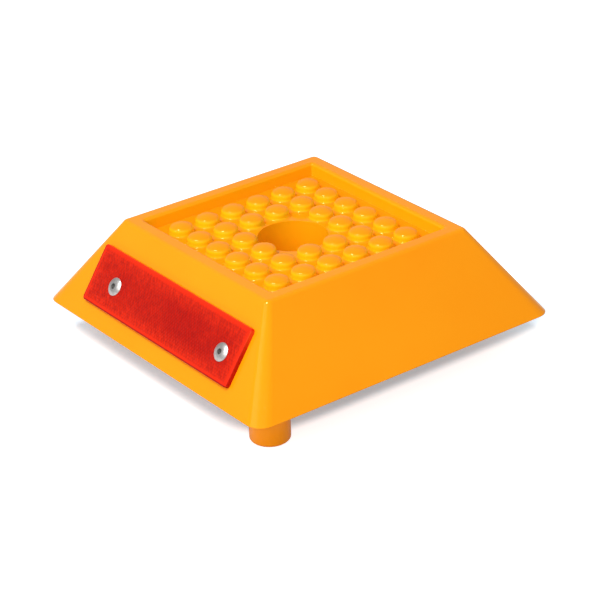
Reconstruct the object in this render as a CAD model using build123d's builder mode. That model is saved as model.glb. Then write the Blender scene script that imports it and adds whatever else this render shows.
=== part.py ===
from build123d import *
import math
import os

# Plastic road stud. All sizes are in millimetres. The road surface is z = 0 and the stud's
# centre is x = y = 0. The reflector faces -Y.

# Moulded body: a square pyramid stump with a thin shell
base_size = 150.0
top_size = 100.0
body_height = 37.0
base_corner_radius = 7.0
top_corner_radius = 2.5
shell_wall = 4.0
mould_draft = 3.0

# Sunken tray in the top, and the soft rim round it
rim_width = 6.2
rim_outer_radius = 2.5
rim_inner_radius = 1.4
tray_depth = 5.6
tray_corner_radius = 1.0

# Tread dots on the tray floor, in a square grid with an open middle. Each has a low dome,
# a rounded shoulder, and a rounded foot that runs into a flat apron on the floor.
dot_rows = 6
dot_open_rows = 2
dot_pitch = 13.11
dot_diameter = 10.1
dot_height = 4.7
dot_dome_radius = 9.0
dot_shoulder_radius = 2.0
dot_foot_radius = 1.2
dot_apron_width = 1.45
dot_root = 1.0

# Well for the anchor bolt's head, and the bolt hole through its seat
well_diameter = 29.4
well_wall = 4.0
seat_thickness = 8.0
bolt_hole_diameter = 14.0

# Square ribs that stiffen the hollow underside, with a crossing on each peg
ribs_to_peg = 4
rib_thickness = 2.5
cavity_corner_radius = 2.0

# Two locating pegs under opposite corners, and the wider boss that roots each one
peg_diameter = 16.4
peg_length = 18.4
peg_inset = 19.6
peg_tip_radius = 1.5
peg_boss_wall = 1.5

# Reflector lens, flat on the sloped face
lens_width = 101.4
lens_height = 25.0
lens_thickness = 2.0
lens_rise = 8.0
lens_corner_radius = 1.5
lens_edge_radius = 0.4

# Blind rivets that hold the lens
rivet_spacing = 74.4
rivet_shift = 3.2
rivet_drop = 1.3
rivet_diameter = 4.0
rivet_clearance = 0.1
rivet_head_diameter = 7.6
rivet_head_height = 1.2
rivet_head_edge = 0.35
rivet_bore_diameter = 2.4
blind_end_diameter = 6.0
blind_end_length = 4.5
blind_end_clearance = 0.5

# Broken-off mandrel left inside each rivet
mandrel_clearance = 0.05
mandrel_recess = 0.7
mandrel_head_diameter = 3.6
mandrel_head_length = 2.0

# Slope of the side faces
slope_run = (base_size - top_size) / 2
slope_length = math.hypot(slope_run, body_height)
slope_rise = body_height / slope_length
slope_reach = slope_run / slope_length

# Tray and dots
tray_size = top_size - 2 * rim_width
tray_floor = body_height - tray_depth
dot_radius = dot_diameter / 2
dot_dome_angle = math.degrees(math.asin(dot_radius / dot_dome_radius))
dot_side_height = dot_height - dot_dome_radius + math.sqrt(dot_dome_radius**2 - dot_radius**2)
dot_side_foot = dot_radius + dot_side_height * math.tan(math.radians(mould_draft))
dot_apron = dot_side_foot + dot_apron_width
dot_open_reach = dot_open_rows * dot_pitch / 2
dot_points = [
    (place.position.X, place.position.Y, tray_floor)
    for place in GridLocations(dot_pitch, dot_pitch, dot_rows, dot_rows)
    if max(abs(place.position.X), abs(place.position.Y)) > dot_open_reach
]

# Underside
well_radius = well_diameter / 2
cavity_height = tray_floor - shell_wall
cavity_base_size = base_size - 2 * shell_wall / slope_rise
cavity_top_size = cavity_base_size - 2 * cavity_height * slope_run / body_height
peg_radius = peg_diameter / 2
peg_reach = base_size / 2 - peg_inset
peg_points = [(peg_reach, -peg_reach), (-peg_reach, peg_reach)]
rib_pitch = peg_reach / ribs_to_peg
cell_size = rib_pitch - rib_thickness
cell_rows = 2 * math.ceil((cavity_base_size / 2 - rib_thickness) / rib_pitch)
cell_reach = cell_rows * rib_pitch / 2 - rib_thickness / 2

# Plane on the front slope at the lens's middle: its normal points outwards, its Y up the slope
lens_middle = lens_rise + lens_height / 2
lens_plane = Plane(
    origin=(0, lens_middle * slope_reach - base_size / 2, lens_middle * slope_rise),
    x_dir=(1, 0, 0),
    z_dir=(0, -slope_rise, slope_reach),
)

# Rivets
rivet_points = {
    "left": (rivet_shift - rivet_spacing / 2, -rivet_drop),
    "right": (rivet_shift + rivet_spacing / 2, -rivet_drop),
}
rivet_hole_radius = rivet_diameter / 2 + rivet_clearance
rivet_grip = lens_thickness + shell_wall
blind_end_depth = rivet_grip + blind_end_length
mandrel_radius = rivet_bore_diameter / 2 - mandrel_clearance

# Pockets that keep the ribs clear of the blind ends: open below, and as deep as the mandrels reach
mandrel_reach = shell_wall + blind_end_length + mandrel_head_length
mandrel_end = lens_plane.from_local_coords((0, -rivet_drop, -mandrel_reach))
pocket_width = blind_end_diameter + 2 * blind_end_clearance
pocket_back = mandrel_end.Y + mandrel_head_diameter / 2 + blind_end_clearance
pocket_depth = pocket_back + cell_reach
pocket_points = [(point[0], pocket_back) for point in rivet_points.values()]


def rivet_section_plane(point):
    """Plane through a rivet's axis: its origin is on the lens's front face, its Y points out of the face."""
    seat = lens_plane.offset(lens_thickness)
    return Plane(origin=seat.from_local_coords((*point, 0)), x_dir=seat.x_dir, z_dir=-seat.y_dir)


def make_cavity():
    """Hollow cells of the underside: the inside of the shell, divided by ribs, well wall and pegs."""
    with BuildPart() as cavity:
        with BuildSketch():
            RectangleRounded(cavity_base_size, cavity_base_size, cavity_corner_radius)
        with BuildSketch(Plane.XY.offset(cavity_height)):
            RectangleRounded(cavity_top_size, cavity_top_size, cavity_corner_radius)
        loft(ruled=True)
        with BuildSketch():
            with GridLocations(rib_pitch, rib_pitch, cell_rows, cell_rows):
                Rectangle(cell_size, cell_size)
            Circle(well_radius + well_wall, mode=Mode.SUBTRACT)
            with Locations(*peg_points):
                Circle(peg_radius + peg_boss_wall, mode=Mode.SUBTRACT)
            with Locations(*pocket_points):
                Rectangle(pocket_width, pocket_depth, align=(Align.CENTER, Align.MAX))
        extrude(amount=cavity_height, mode=Mode.INTERSECT)
    return cavity


def make_dot():
    """One tread dot with its foot on z = 0 and a root below that."""
    with BuildPart() as dot:
        with BuildSketch(Plane.XZ) as section:
            with BuildLine():
                dome = CenterArc(
                    (0, dot_height - dot_dome_radius), dot_dome_radius, 90 - dot_dome_angle, dot_dome_angle
                )
                Polyline(
                    dome @ 1,
                    (0, -dot_root),
                    (dot_apron, -dot_root),
                    (dot_apron, 0),
                    (dot_side_foot, 0),
                    dome @ 0,
                )
            make_face()
            shoulder = section.vertices().sort_by_distance((dot_radius, dot_side_height))[0]
            fillet(shoulder, radius=dot_shoulder_radius)
            foot = section.vertices().sort_by_distance((dot_side_foot, 0))[0]
            fillet(foot, radius=dot_foot_radius)
        revolve(axis=Axis.Z)
    return dot


def make_body():
    """One moulding: the sloped shell with its tray, dots, well, ribs, pegs and rivet holes."""
    cavity = make_cavity()
    dot = make_dot()
    with BuildPart() as body:
        with BuildSketch():
            RectangleRounded(base_size, base_size, base_corner_radius)
        with BuildSketch(Plane.XY.offset(body_height)):
            RectangleRounded(top_size, top_size, top_corner_radius)
        loft(ruled=True)

        # Tray, with softened edges on both sides of its rim
        with BuildSketch(Plane.XY.offset(body_height)):
            RectangleRounded(tray_size, tray_size, tray_corner_radius)
        extrude(amount=-tray_depth, taper=mould_draft, mode=Mode.SUBTRACT)
        rim = body.faces().sort_by(Axis.Z)[-1]
        fillet(rim.inner_wires().edges(), radius=rim_inner_radius)
        rim = body.faces().sort_by(Axis.Z)[-1]
        fillet(rim.outer_wire().edges(), radius=rim_outer_radius)

        with Locations(*dot_points):
            add(dot.part)

        # Underside cells, then the well and its bolt hole
        add(cavity.part, mode=Mode.SUBTRACT)
        with Locations((0, 0, tray_floor)):
            CounterBoreHole(bolt_hole_diameter / 2, well_radius, tray_floor - seat_thickness)

        # Locating pegs
        with BuildSketch():
            with Locations(*peg_points):
                Circle(peg_radius)
        extrude(amount=-peg_length)
        peg_tips = body.edges().filter_by(GeomType.CIRCLE).group_by(Axis.Z)[0]
        fillet(peg_tips, radius=peg_tip_radius)

        # Rivet holes through the front wall
        with BuildSketch(lens_plane):
            with Locations(*rivet_points.values()):
                Circle(rivet_hole_radius)
        extrude(amount=-shell_wall, mode=Mode.SUBTRACT)
    return body


def make_lens():
    """Flat reflector plate with softened front edges and two rivet holes."""
    with BuildPart() as lens:
        with BuildSketch(lens_plane):
            RectangleRounded(lens_width, lens_height, lens_corner_radius)
            with Locations(*rivet_points.values()):
                Circle(rivet_hole_radius, mode=Mode.SUBTRACT)
        extrude(amount=lens_thickness)
        front_face = lens.faces().sort_by(Axis(lens_plane.origin, lens_plane.z_dir))[-1]
        fillet(front_face.outer_wire().edges(), radius=lens_edge_radius)
    return lens


def make_rivet(section):
    """Set blind rivet: a low domed head, a tube through lens and wall, and a swollen blind end."""
    shank_radius = rivet_diameter / 2
    bore_radius = rivet_bore_diameter / 2
    with BuildPart() as rivet:
        with BuildSketch(section):
            with BuildLine():
                seat = Line((shank_radius, 0), (rivet_head_diameter / 2, 0))
                rim = Line(seat @ 1, (rivet_head_diameter / 2, rivet_head_edge))
                dome = TangentArc((bore_radius, rivet_head_height), rim @ 1, tangent=(1, 0))
                bore = Line(dome @ 0, (bore_radius, -blind_end_depth))
                lip = Line(bore @ 1, (shank_radius, -blind_end_depth))
                ThreePointArc(
                    lip @ 1,
                    (blind_end_diameter / 2, -rivet_grip - blind_end_length / 2),
                    (shank_radius, -rivet_grip),
                )
                Line((shank_radius, -rivet_grip), seat @ 0)
            make_face()
        revolve(axis=Axis(section.origin, section.y_dir))
    return rivet


def make_mandrel(section):
    """Mandrel stub: a pin that broke off below the rivet's face, with its head behind the blind end."""
    pin_top = rivet_head_height - mandrel_recess
    head_radius = mandrel_head_diameter / 2
    with BuildPart() as mandrel:
        with BuildSketch(section):
            with BuildLine():
                Polyline(
                    (0, pin_top),
                    (mandrel_radius, pin_top),
                    (mandrel_radius, -blind_end_depth),
                    (head_radius, -blind_end_depth),
                    (head_radius, -blind_end_depth - mandrel_head_length),
                    (0, -blind_end_depth - mandrel_head_length),
                    close=True,
                )
            make_face()
        revolve(axis=Axis(section.origin, section.y_dir))
    return mandrel


os.makedirs("parts", exist_ok=True)

stud_body = make_body()
stud_body.part.label = "stud_body"
export_step(stud_body.part, "parts/stud_body.step")

reflector_lens = make_lens()
reflector_lens.part.label = "reflector_lens"
export_step(reflector_lens.part, "parts/reflector_lens.step")

for side, point in rivet_points.items():
    section = rivet_section_plane(point)
    rivet = make_rivet(section)
    rivet.part.label = f"{side}_rivet"
    export_step(rivet.part, f"parts/{side}_rivet.step")
    mandrel = make_mandrel(section)
    mandrel.part.label = f"{side}_mandrel"
    export_step(mandrel.part, f"parts/{side}_mandrel.step")
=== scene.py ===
import bpy
import math
from mathutils import Matrix, Vector


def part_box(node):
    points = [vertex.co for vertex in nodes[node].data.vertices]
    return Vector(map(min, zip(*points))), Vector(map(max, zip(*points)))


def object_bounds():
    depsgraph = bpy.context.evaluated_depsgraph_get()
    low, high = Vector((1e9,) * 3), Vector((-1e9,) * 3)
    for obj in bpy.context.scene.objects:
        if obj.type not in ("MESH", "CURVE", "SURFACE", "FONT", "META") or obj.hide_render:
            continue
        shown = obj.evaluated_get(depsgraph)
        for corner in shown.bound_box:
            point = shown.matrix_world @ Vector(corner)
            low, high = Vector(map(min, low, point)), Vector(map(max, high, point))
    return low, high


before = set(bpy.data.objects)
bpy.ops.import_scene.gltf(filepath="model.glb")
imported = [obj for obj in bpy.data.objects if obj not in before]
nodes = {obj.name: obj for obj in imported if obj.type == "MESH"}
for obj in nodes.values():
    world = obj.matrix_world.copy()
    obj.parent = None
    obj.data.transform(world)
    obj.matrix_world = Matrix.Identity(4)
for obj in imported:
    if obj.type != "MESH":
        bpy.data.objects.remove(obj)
cad_low, cad_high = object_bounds()
lens_low, lens_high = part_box("reflector_lens")
scene = bpy.context.scene
MM = 0.001

# Sizes of the stud that the materials follow, in metres
BASE_HALF = cad_high.x
TOP_HALF = 50.0 * MM
BODY_HEIGHT = cad_high.z
SLOPE_LENGTH = math.hypot(BASE_HALF - TOP_HALF, BODY_HEIGHT)
SLOPE_REACH = (BASE_HALF - TOP_HALF) / SLOPE_LENGTH
SLOPE_RISE = BODY_HEIGHT / SLOPE_LENGTH
RIM_WIDTH = 6.2 * MM
TRAY_DEPTH = 5.6 * MM
WELL_RADIUS = 14.7 * MM
EDGE_MARGIN = 0.4 * MM
DOTS_REACH = (40.5 * MM, 42.5 * MM)
LENS_WIDTH = lens_high.x - lens_low.x
LENS_HEIGHT = 25.0 * MM
LENS_RISE = 8.0 * MM

# Ranges: the middle part of a noise that is spread out, and what a range becomes
WIDE_PART = (0.25, 0.75)
MIDDLE_PART = (0.3, 0.7)
NARROW_PART = (0.35, 0.65)
RISING = (0.0, 1.0)
FALLING = (1.0, 0.0)

# Moulded plastic. Each noise has its scale per metre, its detail and its roughness. A wall turns from
# steep to flat as the upright part of its normal goes through the steep span.
PLASTIC_COLOUR = (1.0, 0.315, 0.002, 1)
FLOW_COLOUR = (1.0, 0.335, 0.003, 1)
# Painted light: the glow colours of steep wall faces in the tray and the well, and of each dot's sides,
# stand for light that comes through the thin plastic.
WALL_GLOW_COLOUR = (1.0, 0.46, 0.004, 1)
DOT_SIDE_GLOW_COLOUR = (1.0, 0.58, 0.006, 1)
STEEP_SPAN = (0.2, 0.9)
FLOW_NOISE = (22.0, 3.0, 0.55)
GLOSS_NOISE = (160.0, 4.0, 0.6)
WAVE_NOISE = (45.0, 1.0, 0.5)
GRAIN_NOISE = (1400.0, 2.0, 0.5)
WAVE_HEIGHT = 0.5 * MM
GRAIN_HEIGHT = 0.015 * MM
PLASTIC_BUMP = 0.2
SOFT_EDGE_RADIUS = 0.3 * MM
SOFT_EDGE_SAMPLES = 6
PLASTIC_ROUGHNESS = (0.12, 0.18)
PLASTIC_IOR = 1.49
PLASTIC_SPECULAR = 0.5
PLASTIC_GLOSS_TINT = (1.0, 0.72, 0.3, 1)

# Red lens: its prisms, the strokes of light and shade across them, and its reds: painted shade in the
# middle, painted light towards the edge, a painted shadow line and a cut edge painted lighter at the top
PRISM_PITCH = 1.4 * MM
FACET_TURNS = (90, 210, 330)
TOP_FACET_SHADE = 0.16
RIGHT_FACET_SHADE = 0.1
CELL_SHADE = 0.14
CELL_STEPS = 4
STROKE_WIDTH = 1.0 * MM
STROKE_LENGTH = 2.6 * MM
STROKE_LEAN = 0.35
STROKE_SHADE = (0.0, 0.36)
STROKE_NOISE = (1 / STROKE_WIDTH, 1.0, 0.5)
BLOTCH_NOISE = (38.0, 2.0, 0.5)
BLOTCH_SHADE_DEPTH = (0.45, 1.0)
HAZE_NOISE = (120.0, 3.0, 0.5)
PRISM_FADE = (0.8 * MM, 2.6 * MM)
MIDDLE_SHADE_FADE = (0.8 * MM, 9.0 * MM)
FACE_FADE = (0.05 * MM, 0.35 * MM)
SHADOW_LINE_FADE = (0.3 * MM, 0.9 * MM)
# Painted light at the lens's edge and painted shade in its middle
EDGE_LIGHT_RED = (0.78, 0.022, 0.003, 1)
MIDDLE_SHADE_RED = (0.5, 0.006, 0.001, 1)
SHADED_RED = (0.24, 0.002, 0.001, 1)
# Painted shadow line, and a cut edge painted lighter at its top
SHADOW_LINE_RED = (0.3, 0.006, 0.002, 1)
LOW_EDGE_RED = (0.5, 0.008, 0.002, 1)
LIT_TOP_EDGE_RED = (0.85, 0.06, 0.008, 1)
PRISM_BUMP_DISTANCE = 1.0
PRISM_BUMP = 0.2
LENS_ROUGHNESS = (0.3, 0.42)
LENS_IOR = 1.49
LENS_SPECULAR = 0.12

# Bare metal of the rivets and of the pins in them; the pins' steel is painted dark, for the shade down
# the rivets' bores
PATCH_NOISE = (420.0, 3.0, 0.6)
RUB_NOISE = (900.0, 4.0, 0.6)
MARK_NOISE = (2200.0, 3.0, 0.6)
DENT_NOISE = (500.0, 1.0, 0.5)
METAL_BUMP = 0.4
RIVET_FINISH = {
    "bright": (0.74, 0.71, 0.69, 1),
    "dull": (0.52, 0.495, 0.48, 1),
    "roughness": (0.32, 0.46),
    "scratch": 0.01 * MM,
    "dent": 0.05 * MM,
}
# The pins' steel is painted dark, for the shade down the rivets' bores
MANDREL_SHADE_FINISH = {
    "bright": (0.2, 0.19, 0.18, 1),
    "dull": (0.1, 0.095, 0.09, 1),
    "roughness": (0.35, 0.55),
    "scratch": 0.03 * MM,
    "dent": 0.15 * MM,
}

# Camera: where it stands round the stud, and how far. Its focal length and the picture are in pixels,
# its sensor in millimetres.
CAMERA_AZIMUTH = math.radians(53.6308)
CAMERA_ELEVATION = math.radians(26.8393)
CAMERA_ROLL = math.radians(-2.2131)
CAMERA_DISTANCE = 926.6662 * MM
CAMERA_SIDESTEP = (1.7386 * MM, 1.7063 * MM)
FOCAL_PIXELS = 2230.2061
PICTURE_PIXELS = 600
SENSOR_WIDTH = 36.0

# Light: plain even surroundings, and soft boxes in front of the stud. Each soft box has its azimuth and
# elevation in degrees, its width and height in metres, and its level on a surface that faces it.
WORLD_LEVEL = 0.43
LIGHT_DISTANCE = 1.2
SOFT_BOXES = {
    "key": (5, 61, 0.24, 0.24, 0.55),
    "low_front": (5, 38, 1.0, 0.4, 0.16),
    "broad_fill": (48, 33, 1.2, 0.7, 0.28),
}
WHITE = (1, 1, 1, 1)

# Floor: it glows a little to the camera, and less and cooler in a rounded square where the shadow shows:
# a painted shadow band, where the real shadow shows with a painted cool tint.
# Glossy and transmitted rays see a share of that glow.
FLOOR_LEVEL = cad_low.z
FLOOR_HALF = 4.0
FLOOR_CORNERS = ((-1, -1), (1, -1), (1, 1), (-1, 1))
FLOOR_COLOUR = (0.78, 0.78, 0.79, 1)
FLOOR_LIFT = (0.33, 0.8)
MIRRORED_LIFT = 0.2
# Painted cool tint of the shadow band
SHADOW_FLOOR_COLOUR = (0.7, 0.78, 0.88, 1)
SHADOW_LIFT_COLOUR = (0.84, 0.95, 1.0, 1)
SHADOW_REACH = (6.0 * MM, 13.0 * MM)
SHADOW_SHIFT = (-29.2 * MM, 21.5 * MM)
SHADOW_SQUARENESS = 8.0


def feed(tree, socket, value):
    """Links another node's output to a socket, or sets a plain value on it."""
    if isinstance(value, bpy.types.NodeSocket):
        tree.links.new(value, socket)
    else:
        socket.default_value = value


def set_inputs(tree, made, values):
    """Feeds a node's inputs by name."""
    for name, value in values.items():
        feed(tree, made.inputs[name], value)


def make_node(tree, kind, **settings):
    """A shader node with its settings."""
    made = tree.nodes.new(kind)
    for name, value in settings.items():
        setattr(made, name, value)
    return made


def math_node(tree, operation, *values):
    made = make_node(tree, "ShaderNodeMath", operation=operation)
    for socket, value in zip(made.inputs, values):
        feed(tree, socket, value)
    return made.outputs[0]


def vector_node(tree, operation, *values, output="Vector"):
    made = make_node(tree, "ShaderNodeVectorMath", operation=operation)
    for socket, value in zip(made.inputs, values):
        feed(tree, socket, value)
    return made.outputs[output]


def split_node(tree, vector):
    """The X, Y and Z of a vector."""
    made = make_node(tree, "ShaderNodeSeparateXYZ")
    feed(tree, made.inputs[0], vector)
    return made.outputs


def flat_node(tree, across, upward):
    """A vector with only X and Y."""
    made = make_node(tree, "ShaderNodeCombineXYZ")
    set_inputs(tree, made, {"X": across, "Y": upward})
    return made.outputs[0]


def noise_node(tree, place, noise):
    scale, detail, roughness = noise
    made = make_node(tree, "ShaderNodeTexNoise")
    set_inputs(tree, made, {"Vector": place, "Scale": scale, "Detail": detail, "Roughness": roughness})
    return made.outputs["Fac"]


def range_node(tree, value, span, target=RISING):
    """Spreads the part of a value that lies in a span over a target range."""
    made = make_node(tree, "ShaderNodeMapRange")
    names = ("Value", "From Min", "From Max", "To Min", "To Max")
    set_inputs(tree, made, dict(zip(names, (value, *span, *target))))
    return made.outputs["Result"]


def smooth_node(tree, value, span, target=RISING):
    """The same with soft ends."""
    result = range_node(tree, value, span, target)
    result.node.interpolation_type = "SMOOTHSTEP"
    return result


def mix_node(tree, kind, factor, first, second):
    """The first of two colours (RGBA) or vectors (VECTOR) at factor 0, the second at 1."""
    made = make_node(tree, "ShaderNodeMix", data_type=kind)
    ends = [socket for socket in made.inputs if socket.type == kind][-2:]
    for socket, value in zip((made.inputs[0], *ends), (factor, first, second)):
        feed(tree, socket, value)
    return next(socket for socket in made.outputs if socket.type == kind)


def mix_colour(tree, factor, first, second):
    return mix_node(tree, "RGBA", factor, first, second)


def bump_node(tree, height, distance, strength, below=None):
    """Normal of a surface with a relief, over another normal where one is given."""
    made = make_node(tree, "ShaderNodeBump")
    set_inputs(tree, made, {"Height": height, "Distance": distance, "Strength": strength})
    if below is not None:
        feed(tree, made.inputs["Normal"], below)
    return made.outputs["Normal"]


def object_place(tree):
    """A point's place in the shared frame."""
    return make_node(tree, "ShaderNodeTexCoord").outputs["Object"]


def start_material(name):
    """A new material, its node tree, its shader and a point's place."""
    material = bpy.data.materials.new(name)
    material.use_nodes = True
    tree = material.node_tree
    shader = next(node for node in tree.nodes if node.type == "BSDF_PRINCIPLED")
    return material, tree, shader, object_place(tree)


def painted_glow_walls(tree, place):
    """How far a point lies on a steep wall inside the tray or the well, and how far in among the dot
    rows: masks for the painted glow.
    """
    split = split_node(tree, place)
    across = math_node(tree, "ABSOLUTE", split["X"])
    along = math_node(tree, "ABSOLUTE", split["Y"])
    spread = math_node(tree, "MAXIMUM", across, along)
    within_rim = math_node(tree, "LESS_THAN", spread, TOP_HALF - RIM_WIDTH / 2)
    tray_floor = BODY_HEIGHT - TRAY_DEPTH - EDGE_MARGIN
    over_floor = math_node(tree, "GREATER_THAN", split["Z"], tray_floor)
    in_tray = math_node(tree, "MULTIPLY", within_rim, over_floor)
    level = vector_node(tree, "MULTIPLY", place, (1, 1, 0))
    from_axis = vector_node(tree, "LENGTH", level, output="Value")
    in_well = math_node(tree, "LESS_THAN", from_axis, WELL_RADIUS + EDGE_MARGIN)
    facing = split_node(tree, make_node(tree, "ShaderNodeNewGeometry").outputs["Normal"])
    steep = smooth_node(tree, math_node(tree, "ABSOLUTE", facing["Z"]), STEEP_SPAN, FALLING)
    glow_walls = math_node(tree, "MULTIPLY", steep, math_node(tree, "MAXIMUM", in_tray, in_well))
    dot_glow_reach = smooth_node(tree, spread, DOTS_REACH, FALLING)
    return glow_walls, math_node(tree, "SUBTRACT", dot_glow_reach, in_well)


def make_plastic():
    """Glossy moulded plastic: faint flow shades, painted light that turns steep wall faces in the tray
    and the well and each dot's sides yellower, soft edges, uneven gloss.
    """
    material, tree, shader, place = start_material("moulded_orange_plastic")
    flow = range_node(tree, noise_node(tree, place, FLOW_NOISE), MIDDLE_PART)
    plain = mix_colour(tree, flow, PLASTIC_COLOUR, FLOW_COLOUR)
    # Painted light: steep wall faces in the tray and the well, and each dot's sides, are painted
    # yellower.
    glow_walls, dot_glow_share = painted_glow_walls(tree, place)
    painted_wall_glow = mix_colour(tree, dot_glow_share, WALL_GLOW_COLOUR, DOT_SIDE_GLOW_COLOUR)
    gloss = noise_node(tree, place, GLOSS_NOISE)
    soft_edge = make_node(tree, "ShaderNodeBevel", samples=SOFT_EDGE_SAMPLES)
    set_inputs(tree, soft_edge, {"Radius": SOFT_EDGE_RADIUS})
    waves = noise_node(tree, place, WAVE_NOISE)
    grain = noise_node(tree, place, GRAIN_NOISE)
    wavy = bump_node(tree, waves, WAVE_HEIGHT, PLASTIC_BUMP, soft_edge.outputs["Normal"])
    set_inputs(
        tree,
        shader,
        {
            "Base Color": mix_colour(tree, glow_walls, plain, painted_wall_glow),
            "Roughness": range_node(tree, gloss, WIDE_PART, PLASTIC_ROUGHNESS),
            "Normal": bump_node(tree, grain, GRAIN_HEIGHT, PLASTIC_BUMP, wavy),
            "IOR": PLASTIC_IOR,
            "Specular IOR Level": PLASTIC_SPECULAR,
            "Specular Tint": PLASTIC_GLOSS_TINT,
        },
    )
    return material


def lens_places(tree, place):
    """Where a point of the lens lies: across the face, up it from its middle, and in from its edge."""
    split = split_node(tree, place)
    across = split["X"]
    inward = math_node(tree, "ADD", split["Y"], BASE_HALF)
    climb = math_node(
        tree,
        "ADD",
        math_node(tree, "MULTIPLY", inward, SLOPE_REACH),
        math_node(tree, "MULTIPLY", split["Z"], SLOPE_RISE),
    )
    upward = math_node(tree, "SUBTRACT", climb, LENS_RISE + LENS_HEIGHT / 2)
    side_gap = math_node(tree, "SUBTRACT", LENS_WIDTH / 2, math_node(tree, "ABSOLUTE", across))
    rise_gap = math_node(tree, "SUBTRACT", LENS_HEIGHT / 2, math_node(tree, "ABSOLUTE", upward))
    return across, upward, math_node(tree, "MINIMUM", side_gap, rise_gap)


def honeycomb(tree, across, upward, pitch):
    """Vector from the middle of the nearest honeycomb cell, and that middle."""
    flat = flat_node(tree, across, upward)
    step = (pitch / 2, pitch * math.sqrt(3) / 2, 1.0)
    back_step = tuple(-part for part in step)
    first = vector_node(tree, "WRAP", flat, step, back_step)
    shifted = vector_node(tree, "SUBTRACT", flat, (step[0], step[1], 0))
    second = vector_node(tree, "WRAP", shifted, step, back_step)
    first_nearer = math_node(
        tree,
        "LESS_THAN",
        vector_node(tree, "LENGTH", first, output="Value"),
        vector_node(tree, "LENGTH", second, output="Value"),
    )
    local = mix_node(tree, "VECTOR", first_nearer, second, first)
    return local, vector_node(tree, "SUBTRACT", flat, local)


def prism_facets(tree, local):
    """Shade and height of a three-sided prism, whose facets lie in three directions from its middle."""
    top, left, right = (
        vector_node(tree, "DOT_PRODUCT", local, (math.cos(turn), math.sin(turn), 0), output="Value")
        for turn in map(math.radians, FACET_TURNS)
    )
    top_or_left = math_node(tree, "MAXIMUM", top, left)
    on_top = math_node(tree, "GREATER_THAN", top, math_node(tree, "MAXIMUM", left, right))
    on_right = math_node(tree, "GREATER_THAN", right, top_or_left)
    shade = math_node(
        tree,
        "ADD",
        math_node(tree, "MULTIPLY", on_top, TOP_FACET_SHADE),
        math_node(tree, "MULTIPLY", on_right, RIGHT_FACET_SHADE),
    )
    return shade, math_node(tree, "MAXIMUM", top_or_left, right)


def light_strokes(tree, across, upward, cell):
    """Shade of each prism for itself, and of short strokes that lean across the face."""
    scaled = vector_node(tree, "SCALE", cell)
    set_inputs(tree, scaled.node, {"Scale": CELL_STEPS / PRISM_PITCH})
    cell_noise = make_node(tree, "ShaderNodeTexWhiteNoise", noise_dimensions="2D")
    set_inputs(tree, cell_noise, {"Vector": vector_node(tree, "SNAP", scaled, (1, 1, 1))})
    leaning = math_node(tree, "ADD", across, math_node(tree, "MULTIPLY", upward, STROKE_LEAN))
    drawn_out = math_node(tree, "MULTIPLY", upward, STROKE_WIDTH / STROKE_LENGTH)
    strokes = noise_node(tree, flat_node(tree, leaning, drawn_out), STROKE_NOISE)
    stroke_shade = range_node(tree, strokes, NARROW_PART, STROKE_SHADE)
    cell_shade = math_node(tree, "MULTIPLY", cell_noise.outputs["Value"], CELL_SHADE)
    return math_node(tree, "ADD", stroke_shade, cell_shade)


def make_lens_red():
    """Red reflector: a honeycomb of prisms under a smooth clear face, plain at its edge, with painted
    light towards the edge and painted shade in the middle.
    """
    material, tree, shader, place = start_material("prismatic_red_lens")
    across, upward, edge_gap = lens_places(tree, place)
    local, cell = honeycomb(tree, across, upward, PRISM_PITCH)
    facet_shade, facet_height = prism_facets(tree, local)
    stroke_shade = light_strokes(tree, across, upward, cell)
    prism_field = smooth_node(tree, edge_gap, PRISM_FADE)
    shade = math_node(tree, "MULTIPLY", math_node(tree, "ADD", facet_shade, stroke_shade), prism_field)
    prisms = math_node(tree, "MULTIPLY", facet_height, prism_field)

    # Painted shade and light: deep red in the middle, where the prisms reflect darker, and bright red
    # towards the edge, in blotches; over it the painted shade of the prisms
    blotch = range_node(tree, noise_node(tree, place, BLOTCH_NOISE), NARROW_PART, BLOTCH_SHADE_DEPTH)
    middle_shade = math_node(tree, "MULTIPLY", smooth_node(tree, edge_gap, MIDDLE_SHADE_FADE), blotch)
    face = mix_colour(tree, middle_shade, EDGE_LIGHT_RED, MIDDLE_SHADE_RED)
    pattern = mix_colour(tree, shade, face, SHADED_RED)

    # A painted shadow line along the left and the lower edge, and a cut edge painted lighter towards the
    # top
    left_gap = math_node(tree, "ADD", across, LENS_WIDTH / 2)
    low_gap = math_node(tree, "ADD", upward, LENS_HEIGHT / 2)
    past_shadow_line = smooth_node(tree, math_node(tree, "MINIMUM", left_gap, low_gap), SHADOW_LINE_FADE)
    shadow_lined = mix_colour(tree, past_shadow_line, SHADOW_LINE_RED, pattern)
    lit_top_side = smooth_node(tree, upward, (0.0, LENS_HEIGHT / 2))
    cut_edge = mix_colour(tree, lit_top_side, LOW_EDGE_RED, LIT_TOP_EDGE_RED)
    on_face = smooth_node(tree, edge_gap, FACE_FADE)
    haze = noise_node(tree, place, HAZE_NOISE)
    set_inputs(
        tree,
        shader,
        {
            "Base Color": mix_colour(tree, on_face, cut_edge, shadow_lined),
            "Roughness": range_node(tree, haze, MIDDLE_PART, LENS_ROUGHNESS),
            "Normal": bump_node(tree, prisms, PRISM_BUMP_DISTANCE, PRISM_BUMP),
            "IOR": LENS_IOR,
            "Specular IOR Level": LENS_SPECULAR,
        },
    )
    return material


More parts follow.
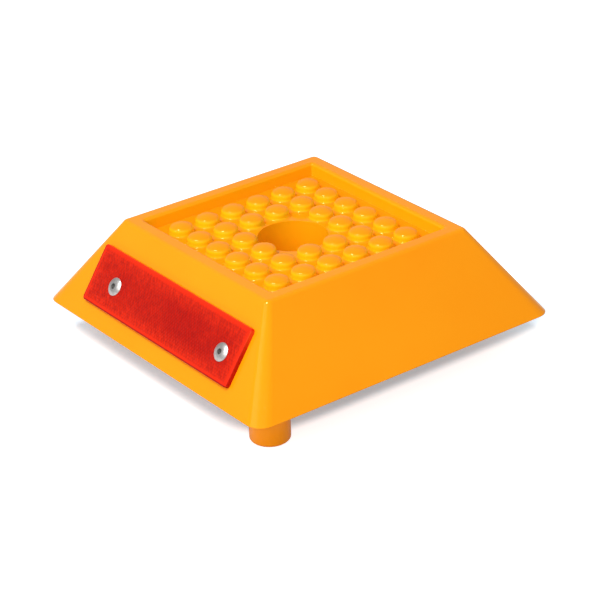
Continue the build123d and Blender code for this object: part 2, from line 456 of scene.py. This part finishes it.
def make_metal(name, bright, dull, roughness, scratch, dent):
    """Bare metal with patchy tone, rubbed gloss and fine handling marks."""
    material, tree, shader, place = start_material(name)
    patch = range_node(tree, noise_node(tree, place, PATCH_NOISE), MIDDLE_PART)
    rubbed = noise_node(tree, place, RUB_NOISE)
    marks = noise_node(tree, place, MARK_NOISE)
    dented = bump_node(tree, noise_node(tree, place, DENT_NOISE), dent, METAL_BUMP)
    set_inputs(
        tree,
        shader,
        {
            "Base Color": mix_colour(tree, patch, bright, dull),
            "Roughness": range_node(tree, rubbed, WIDE_PART, roughness),
            "Normal": bump_node(tree, marks, scratch, METAL_BUMP, dented),
            "Metallic": 1.0,
        },
    )
    return material


def open_floor(tree):
    """0 in the rounded square where the camera sees the shadow, 1 on the rest of the floor."""
    split = split_node(tree, object_place(tree))
    powers = []
    for axis, shift in zip("XY", SHADOW_SHIFT):
        offset = math_node(tree, "ABSOLUTE", math_node(tree, "SUBTRACT", split[axis], shift))
        share = math_node(tree, "DIVIDE", offset, BASE_HALF)
        powers.append(math_node(tree, "POWER", share, SHADOW_SQUARENESS))
    reach = math_node(tree, "POWER", math_node(tree, "ADD", *powers), 1 / SHADOW_SQUARENESS)
    outside = math_node(tree, "MULTIPLY", math_node(tree, "SUBTRACT", reach, 1.0), BASE_HALF)
    return smooth_node(tree, outside, SHADOW_REACH)


def make_floor_white():
    """White floor, a touch brighter to the camera so that only the shadow shows."""
    material = bpy.data.materials.new("studio_floor")
    material.use_nodes = True
    tree = material.node_tree
    tree.nodes.clear()
    path = make_node(tree, "ShaderNodeLightPath").outputs
    mirrored = math_node(tree, "MAXIMUM", path["Is Glossy Ray"], path["Is Transmission Ray"])
    mirrored = math_node(tree, "MULTIPLY", mirrored, MIRRORED_LIFT)
    seen = math_node(tree, "MAXIMUM", path["Is Camera Ray"], mirrored)
    unshaded = open_floor(tree)
    lift = range_node(tree, unshaded, RISING, FLOOR_LIFT)
    diffuse = make_node(tree, "ShaderNodeBsdfDiffuse")
    set_inputs(tree, diffuse, {"Color": mix_colour(tree, unshaded, SHADOW_FLOOR_COLOUR, FLOOR_COLOUR)})
    glow = make_node(tree, "ShaderNodeEmission")
    glow_colour = mix_colour(tree, unshaded, SHADOW_LIFT_COLOUR, WHITE)
    set_inputs(tree, glow, {"Color": glow_colour, "Strength": math_node(tree, "MULTIPLY", seen, lift)})
    both = make_node(tree, "ShaderNodeAddShader")
    tree.links.new(diffuse.outputs[0], both.inputs[0])
    tree.links.new(glow.outputs[0], both.inputs[1])
    output = make_node(tree, "ShaderNodeOutputMaterial")
    tree.links.new(both.outputs[0], output.inputs["Surface"])
    return material


def make_floor():
    """Plain square floor under the stud."""
    mesh = bpy.data.meshes.new("studio_floor")
    corners = [(across * FLOOR_HALF, along * FLOOR_HALF, FLOOR_LEVEL) for across, along in FLOOR_CORNERS]
    mesh.from_pydata(corners, [], [tuple(range(len(corners)))])
    mesh.materials.append(make_floor_white())
    floor = bpy.data.objects.new("studio_floor", mesh)
    scene.collection.objects.link(floor)


def direction_to(azimuth, elevation):
    """Unit vector towards a place round the stud. Azimuth 0 is the lens's side, 90 degrees is +X."""
    level = math.cos(elevation)
    return Vector((math.sin(azimuth) * level, -math.cos(azimuth) * level, math.sin(elevation)))


def make_world():
    """Plain, even surroundings."""
    world = bpy.data.worlds.new("studio")
    scene.world = world
    world.use_nodes = True
    tree = world.node_tree
    background = next(node for node in tree.nodes if node.type == "BACKGROUND")
    set_inputs(tree, background, {"Color": WHITE, "Strength": WORLD_LEVEL})


def make_lights():
    """Soft boxes that face the stud."""
    for name, (azimuth, elevation, width, height, level) in SOFT_BOXES.items():
        direction = direction_to(math.radians(azimuth), math.radians(elevation))
        lamp = bpy.data.lights.new(name, "AREA")
        lamp.shape = "RECTANGLE"
        lamp.size = width
        lamp.size_y = height
        lamp.energy = level * (math.pi * LIGHT_DISTANCE) ** 2
        light = bpy.data.objects.new(name, lamp)
        light.location = direction * LIGHT_DISTANCE
        light.rotation_euler = direction.to_track_quat("Z", "Y").to_euler()
        scene.collection.objects.link(light)


def make_camera():
    """Camera at the photograph's place: it turns about its own axis by the roll, then steps aside."""
    back = direction_to(CAMERA_AZIMUTH, CAMERA_ELEVATION)
    level = Vector((math.cos(CAMERA_AZIMUTH), math.sin(CAMERA_AZIMUTH), 0))
    upright = back.cross(level)
    right = level * math.cos(CAMERA_ROLL) + upright * math.sin(CAMERA_ROLL)
    up = upright * math.cos(CAMERA_ROLL) - level * math.sin(CAMERA_ROLL)
    lens = bpy.data.cameras.new("camera")
    lens.sensor_width = SENSOR_WIDTH
    lens.lens = FOCAL_PIXELS / PICTURE_PIXELS * SENSOR_WIDTH
    camera = bpy.data.objects.new("camera", lens)
    turn = Matrix((right, up, back)).transposed().to_4x4()
    place = back * CAMERA_DISTANCE + right * CAMERA_SIDESTEP[0] + up * CAMERA_SIDESTEP[1]
    camera.matrix_world = Matrix.Translation(place) @ turn
    scene.collection.objects.link(camera)
    scene.camera = camera


def dress(word, material):
    """Gives a material to every CAD node whose name has that word."""
    for name, node in nodes.items():
        if word in name:
            node.data.materials.clear()
            node.data.materials.append(material)


scene.view_settings.view_transform = "Standard"
make_camera()
make_world()
make_lights()
make_floor()
dress("body", make_plastic())
dress("lens", make_lens_red())
dress("rivet", make_metal("rivet_aluminium_finish", **RIVET_FINISH))
dress("mandrel", make_metal("mandrel_steel_painted_shade", **MANDREL_SHADE_FINISH))
